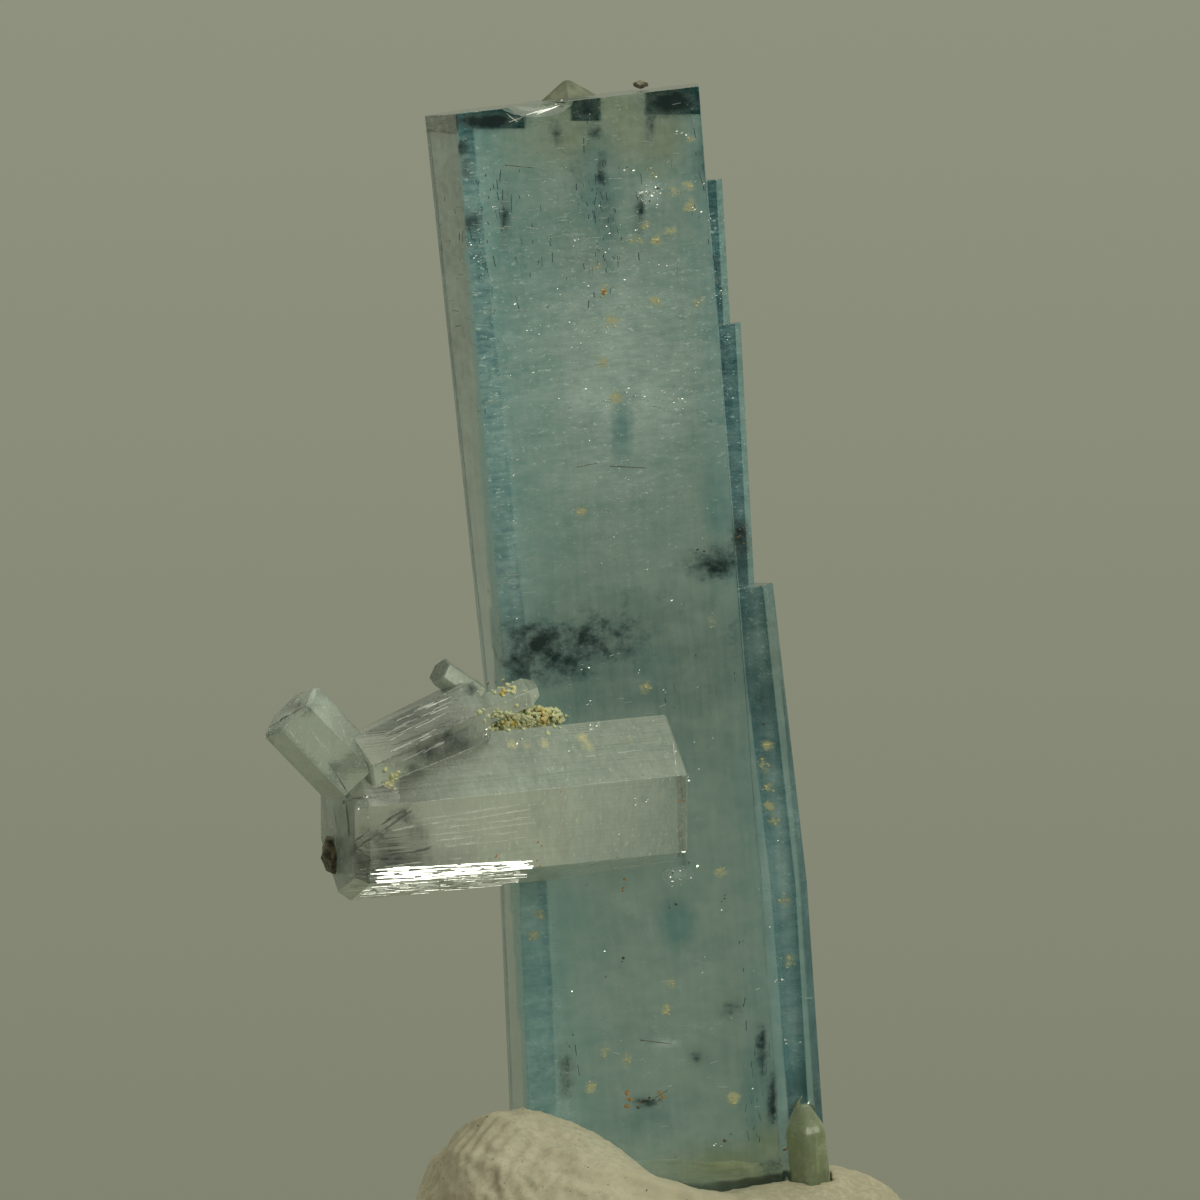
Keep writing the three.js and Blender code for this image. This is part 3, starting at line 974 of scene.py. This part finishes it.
def crystal_piece(node, name, material, paint=None, wear=EDGE_WEAR):
    """A node's crystal with worn sharp edges, painted with what shows inside it."""
    bm = bmesh.new()
    bm.from_mesh(NODES[node].data)
    bmesh.ops.remove_doubles(bm, verts=bm.verts, dist=WELD)
    bmesh.ops.dissolve_limit(bm, angle_limit=FLAT, verts=bm.verts, edges=bm.edges)
    edges = [e for e in bm.edges if len(e.link_faces) == 2 and e.calc_face_angle() > SHARP]
    bmesh.ops.bevel(
        bm, geom=edges, offset=wear, offset_type="OFFSET", segments=3, profile=0.6, affect="EDGES"
    )
    if paint:
        paint_crystal(bm, tree_of(node), paint)
    bmesh.ops.triangulate(bm, faces=bm.faces)
    return object_from(bm, name, material)


# Inclusions


def sparkle_flakes(trees, material):
    """Tiny broken plates in the crystals' fronts, leaning so that they mirror the light overhead."""
    rng = np.random.default_rng(2)
    spots = []
    for x, y, half in GLINTS:
        for _ in range(rng.integers(3, 6)):
            spot = (x + rng.normal() * half, y + rng.normal() * half * 0.6)
            spots.append((*spot, half * rng.uniform(0.25, 0.6)))
    for x, y, half_width, half_height, share in SPARKLES:
        for _ in range(int(FLAKES_A_SHARE * share)):
            spot = (x + rng.normal() * half_width, y + rng.normal() * half_height)
            spots.append((*spot, 0.4 + rng.gamma(2.0, 0.25)))
    bm = bmesh.new()
    for x, y, half in spots:
        place = on_front(trees, x, y)
        if place:
            normal = (MIRROR_NORMAL + Vector(rng.normal(size=3)) * 0.24).normalized()
            add_flake(bm, place, normal, half * PIXEL, rng)
    return object_from(bm, "sparkle_flakes", material)


def strips(tree, lines, normal, half_width, material, name, seed):
    """Thin growth steps on a crystal, broken into short lengths."""
    rng = np.random.default_rng(seed)
    bm = bmesh.new()
    for start, end, count in lines:
        run = np.subtract(end, start)
        unit = run / np.hypot(*run)
        for _ in range(count):
            middle = start + run * rng.uniform(0, 1) + rng.normal(size=2) * 0.8
            half = unit * rng.uniform(3, 13)
            ends = [on_front((tree,), *spot) for spot in (middle - half, middle + half)]
            if all(ends) and (ends[1] - ends[0]).length < 1.5 * MM:
                facing = normal + Vector(rng.normal(size=3)) * 0.08
                add_strip(bm, *ends, facing, half_width * rng.uniform(0.4, 1.0))
    return object_from(bm, name, material)


def dashes(tree, zones, direction, half_width, material, name, seed):
    """Short thin marks in a crystal's front, strewn over zones of the photograph."""
    rng = np.random.default_rng(seed)
    bm = bmesh.new()
    for x, y, across, down, count in zones:
        for _ in range(count):
            middle = np.array((x + rng.normal() * across, y + rng.normal() * down))
            half = (np.array(direction) + rng.normal(size=2) * 0.16) * (0.8 + rng.gamma(1.6, 1.3))
            ends = [on_front((tree,), *spot) for spot in (middle - half, middle + half)]
            if all(ends) and (ends[1] - ends[0]).length < 0.6 * MM:
                add_strip(bm, *ends, Vector((0, -1, 0)), half_width * rng.uniform(0.3, 1.2))
    return object_from(bm, name, material)


def flecks(tree, spots, size, material, name, seed):
    """Flat grains half sunk in a crystal's front, each near the place it has in the photograph."""
    rng = np.random.default_rng(seed)
    bm = bmesh.new()
    for x, y in spots:
        for _ in range(rng.integers(2, 5)):
            place = on_front((tree,), x + rng.normal() * 3, y + rng.normal() * 3)
            if place:
                radius = size * rng.uniform(0.25, 1.0)
                radii = (radius, radius * 0.12, radius * rng.uniform(0.4, 0.9))
                add_blob(bm, place, radii, rng, 0.8)
    return object_from(bm, name, material, smooth=True)


def dark_needles(tree, material):
    """Thin dark rods in the aquamarine's front."""
    bm = bmesh.new()
    for start, end in DARK_NEEDLES:
        ends = [on_front((tree,), *spot) for spot in (start, end)]
        add_needle(bm, *ends, NEEDLE_RADIUS)
    return object_from(bm, "dark_needles", material)


# Crust and grains


def granular_crust(trees, material):
    """Ochre granules over the crust's solid, and some strewn on the crystals round it."""
    rng = np.random.default_rng(5)
    mesh = NODES["iron_crust"].data
    areas = np.array([polygon.area for polygon in mesh.polygons])
    bm = bmesh.new()
    for index in rng.choice(len(areas), CRUST_GRANULES, p=areas / areas.sum()):
        polygon = mesh.polygons[index]
        corners = [mesh.vertices[i].co for i in polygon.vertices]
        weights = rng.dirichlet(np.ones(len(corners)))
        spot = sum((corner * weight for corner, weight in zip(corners, weights)), Vector())
        radius = rng.uniform(0.04, 0.13) * MM
        sunk = spot - polygon.normal * radius * 0.3
        add_blob(bm, sunk, (radius, radius * 0.8, radius * 0.9), rng, 0.9)
    for x, y, half_width, half_height, count in CRUST_PATCHES:
        for _ in range(count):
            place = on_front(trees, x + rng.normal() * half_width, y + rng.normal() * half_height)
            if place:
                radius = rng.uniform(0.03, 0.1) * MM
                add_blob(bm, place, (radius, radius * 0.7, radius * 0.9), rng, 0.9)
    return object_from(bm, "iron_crust_granules", material, smooth=True)


def worn_grain(node, name, material, voxel, roughness):
    """A grain with a fine uneven surface."""
    piece = remeshed(node, name, voxel)
    mesh = piece.data
    mesh.materials.append(material)
    for vert in mesh.vertices:
        swell = noise.fractal(vert.co * 2200, 1.0, 2.0, 4)
        vert.co += vert.normal * (swell * roughness)
    return piece


# Putty


def putty_relief(place):
    """How far the putty stands out at a place: thumbed lumps, dents, pits and skin ridges."""
    lumps = 0.28 * noise.noise(place * 260) + 0.16 * noise.noise(place * 620 + Vector((9, 0, 0)))
    dents = 0.08 * noise.fractal(place * 1500, 0.9, 2.0, 4)
    pits = 0.5 * max(0.0, noise.noise(place * 900 + Vector((0, 4, 0))) - 0.42)
    patches = 1.6 * noise.noise(place * 260 + Vector((3, 5, 1))) + 0.8
    printed = min(1.0, max(0.0, patches)) * np.interp(place.x, [-6 * MM, -2 * MM], [1.0, 0.2])
    bend = RIDGE_BEND * noise.noise(place * 240)
    ridges = math.sin(math.tau * ((place - RIDGE_CENTRE).length + bend) / RIDGE_PITCH)
    return (lumps + dents - pits) * MM + ridges * RIDGE_HEIGHT * printed


def pressed_putty(material):
    """The putty with its relief, which dies out at the crystals it holds and at its foot."""
    piece = remeshed("putty_base", "putty_lump", PUTTY_VOXEL)
    mesh = piece.data
    mesh.materials.append(material)
    held = [tree_of("main_crystal"), tree_of("base_crystal")]
    moved = []
    for vert in mesh.vertices:
        place = vert.co
        clear = min(tree.find_nearest(place)[3] for tree in held)
        free = min(1.0, clear / CRYSTAL_MARGIN) * min(1.0, max(0.0, place.z) / FOOT_MARGIN)
        moved.append(place + vert.normal * (putty_relief(place) * free))
    for vert, place in zip(mesh.vertices, moved):
        vert.co = Vector(np.clip(place, *CAD_BOX))
    return piece


# The specimen's pieces


def dress_crystals():
    """The aquamarine, the colourless crystals, the cap and the point at the foot."""
    aquamarine = painted_crystal(
        "aquamarine",
        CRYSTAL_AXIS,
        relief=4e-6,
        milky=AQUA_MILK,
        mottle=0.8,
        absorption=AQUA_ABSORPTION,
        seed=0.0,
    )
    clear = painted_crystal(
        "clear_beryl",
        CROSS_AXIS,
        relief=2.4e-5,
        milky=CLEAR_MILK,
        mottle=0.3,
        absorption=CLEAR_ABSORPTION,
        seed=0.05,
    )
    prism = crystal_piece("main_crystal", "aquamarine_prism", aquamarine, paint=aquamarine_paint)
    keep(prism, "aquamarine", "main_crystal")
    spray = crystal_piece("cross_crystals", "clear_spray", clear, paint=spray_paint)
    keep(spray, "clear_beryl", "cross_crystals")
    cap = crystal_piece("cap_crystal", "cap_pyramid", cap_material())
    keep(cap, "pale_mineral", "cap_crystal")
    point = crystal_piece("base_crystal", "base_point", pale_mineral_material(), wear=BASE_WEAR)
    keep(point, "pale_mineral", "base_crystal")


def dress_grains(crystal, spray, dark):
    """The dark grains and the ochre crust."""
    speck = worn_grain("top_grain", "top_speck", dark, voxel=0.025 * MM, roughness=0.03 * MM)
    keep(speck, "dark_mineral", "top_grain")
    flake = worn_grain("side_grain", "side_flake", dark, voxel=0.04 * MM, roughness=0.05 * MM)
    keep(flake, "dark_mineral", "side_grain")
    granules = granular_crust((crystal, spray, tree_of("iron_crust")), crust_material())
    keep(granules, "iron_stain", "iron_crust")


def dress_putty():
    keep(pressed_putty(putty_material()), "putty", "putty_base")


def add_lines(crystal, spray):
    """Sparkles, growth steps, growth lines and smoky lines."""
    bright = plain_material("sparkle", colour(0.95, 0.96, 0.93), 0.18, metallic=1.0)
    growth = plain_material("growth_line", colour(0.95, 0.97, 0.92), 0.3)
    smoke = plain_material("smoky_line", colour(0.16, 0.18, 0.16), 0.5)
    keep(sparkle_flakes((crystal, spray), bright), "aquamarine")
    keep(strips(spray, FACET_STEPS, SIDE_NORMAL, 0.03 * MM, bright, "silky_steps", 3), "clear_beryl")
    keep(strips(spray, END_STEPS, SIDE_NORMAL, 0.024 * MM, bright, "bright_streaks", 16), "clear_beryl")
    keep(strips(spray, GROWTH_LINES, SIDE_NORMAL, 0.015 * MM, growth, "growth_lines", 12), "clear_beryl")
    keep(strips(spray, SMOKY_LINES, SIDE_NORMAL, 0.015 * MM, smoke, "smoky_lines", 15), "clear_beryl")
    keep(strips(crystal, CHIP_LINES, MIRROR_NORMAL, 0.014 * MM, bright, "chip_lines", 11), "aquamarine")


def add_marks(crystal):
    """Pale wisps across the aquamarine, and inky dashes along it."""
    wisp = plain_material("wisp", colour(0.52, 0.64, 0.59), 0.4)
    inky = plain_material("inky_blue", colour(0.06, 0.12, 0.14), 0.5)
    keep(dashes(crystal, WISPS, (1.0, -0.07), 0.02 * MM, wisp, "wisps", 13), "aquamarine")
    keep(dashes(crystal, BLUE_DASHES, (0.07, 1.0), 0.015 * MM, inky, "inky_dashes", 14), "aquamarine")


def add_stains(crystal, spray, dark):
    """Yellow, orange and dark grains in the crystals' faces."""
    yellow = plain_material("yellow_stain", colour(0.84, 0.78, 0.42), 0.7)
    orange = plain_material("orange_stain", colour(0.7, 0.32, 0.05), 0.6)
    keep(flecks(crystal, YELLOW_FLECKS, 0.07 * MM, yellow, "yellow_flecks", 4), "iron_stain")
    keep(flecks(crystal, ORANGE_FLECKS, 0.08 * MM, orange, "orange_flecks", 6), "iron_stain")
    keep(flecks(spray, SPRAY_YELLOW, 0.05 * MM, yellow, "yellow_spots", 8), "iron_stain")
    keep(flecks(spray, SPRAY_ORANGE, 0.06 * MM, orange, "orange_spots", 9), "iron_stain")
    keep(dark_needles(crystal, dark), "dark_mineral")
    keep(flecks(crystal, DARK_SPECKS, 0.07 * MM, dark, "dark_specks", 10), "dark_mineral")


def build_specimen():
    crystal = tree_of("main_crystal")
    spray = tree_of("cross_crystals")
    dark = dark_mineral_material()
    dress_crystals()
    dress_grains(crystal, spray, dark)
    dress_putty()
    add_lines(crystal, spray)
    add_marks(crystal)
    add_stains(crystal, spray, dark)


# Stage, light and camera


def world_light():
    """A grey backdrop, darker low down and lighter overhead, and dimmed on the camera's side."""
    world = bpy.data.worlds.new("studio")
    bpy.context.scene.world = world
    shade = Shade(world)
    axes = shade.axes(shade.direction)
    height = shade.between(axes["Z"], -1.0, 1.0, interpolation="LINEAR")
    ramp = shade.node("ShaderNodeValToRGB", {0: height})
    elements = ramp.color_ramp.elements
    while len(elements) < len(BACKDROP):
        elements.new(0.5)
    for element, (upward, tint) in zip(elements, BACKDROP):
        element.position = (upward + 1) / 2
        element.color = colour(*tint)
    front = shade.between(axes["Y"], 0.1, -0.4, 0.0, 0.8, "LINEAR")
    above = shade.between(axes["Z"], -0.6, 0.1, 0.3, 1.0, "LINEAR")
    level = shade.math("SUBTRACT", 1.0, shade.math("MULTIPLY", front, above))
    inputs = {"Color": ramp.outputs[0], "Strength": level}
    background = shade.node("ShaderNodeBackground", inputs).outputs[0]
    shade.node("ShaderNodeOutputWorld", {"Surface": background})


def softbox(name, place, side, watts):
    """A square soft light aimed at the specimen, hidden from rays that went through a crystal."""
    light = bpy.data.lights.new(name, "AREA")
    light.shape = "SQUARE"
    light.size = side
    light.energy = watts
    light.color = LIGHT_TINT
    lamp = bpy.data.objects.new(name, light)
    bpy.context.scene.collection.objects.link(lamp)
    lamp.visible_transmission = False
    lamp.location = place
    lamp.rotation_euler = (LIGHT_AIM - place).to_track_quat("-Z", "Y").to_euler()


def pale_floor():
    """A pale table top round the specimen that fades into the backdrop."""
    shade = new_shade("floor")
    gone = shade.between(shade.vector("LENGTH", shade.place)["Value"], *FLOOR_FADE)
    fine = shade.noise(shade.place, 400, 3.0, 0.5)
    tint = shade.mix(fine, colour(0.6, 0.58, 0.48), colour(0.66, 0.64, 0.54))
    surface = shade.node("ShaderNodeBsdfPrincipled", {"Base Color": tint, "Roughness": 0.8}).outputs[0]
    clear = shade.node("ShaderNodeBsdfTransparent").outputs[0]
    mixed = shade.node("ShaderNodeMixShader", {0: gone, 1: surface, 2: clear}).outputs[0]
    shade.node("ShaderNodeOutputMaterial", {"Surface": mixed})
    bm = bmesh.new()
    bmesh.ops.create_circle(bm, cap_ends=True, segments=96, radius=FLOOR_RADIUS)
    object_from(bm, "floor", shade.owner)


def photo_camera():
    """A camera that frames the specimen as the photograph does."""
    data = bpy.data.cameras.new("camera")
    data.sensor_width = SENSOR
    data.lens = SENSOR * CAMERA_DISTANCE / (PHOTO_SIDE * PIXEL)
    data.clip_start = 10 * MM
    data.clip_end = 10.0
    camera = bpy.data.objects.new("camera", data)
    bpy.context.scene.collection.objects.link(camera)
    camera.location = CAMERA_PLACE
    camera.rotation_euler = CAMERA_FORWARD.to_track_quat("-Z", "Y").to_euler()
    bpy.context.scene.camera = camera


def render_settings():
    """Plain colours, and light paths long enough for clear crystals behind each other."""
    scene = bpy.context.scene
    scene.view_settings.view_transform = "Standard"
    scene.view_settings.look = "None"
    cycles = scene.cycles
    cycles.max_bounces = 24
    cycles.transmission_bounces = 24
    cycles.glossy_bounces = 8
    cycles.diffuse_bounces = 2
    cycles.transparent_max_bounces = 48
    cycles.caustics_reflective = True
    cycles.caustics_refractive = True
    cycles.sample_clamp_indirect = 6.0
    cycles.use_denoising = True


photo_camera()
world_light()
softbox("key", *KEY_LIGHT)
softbox("fill", *FILL_LIGHT)
pale_floor()
build_specimen()
render_settings()
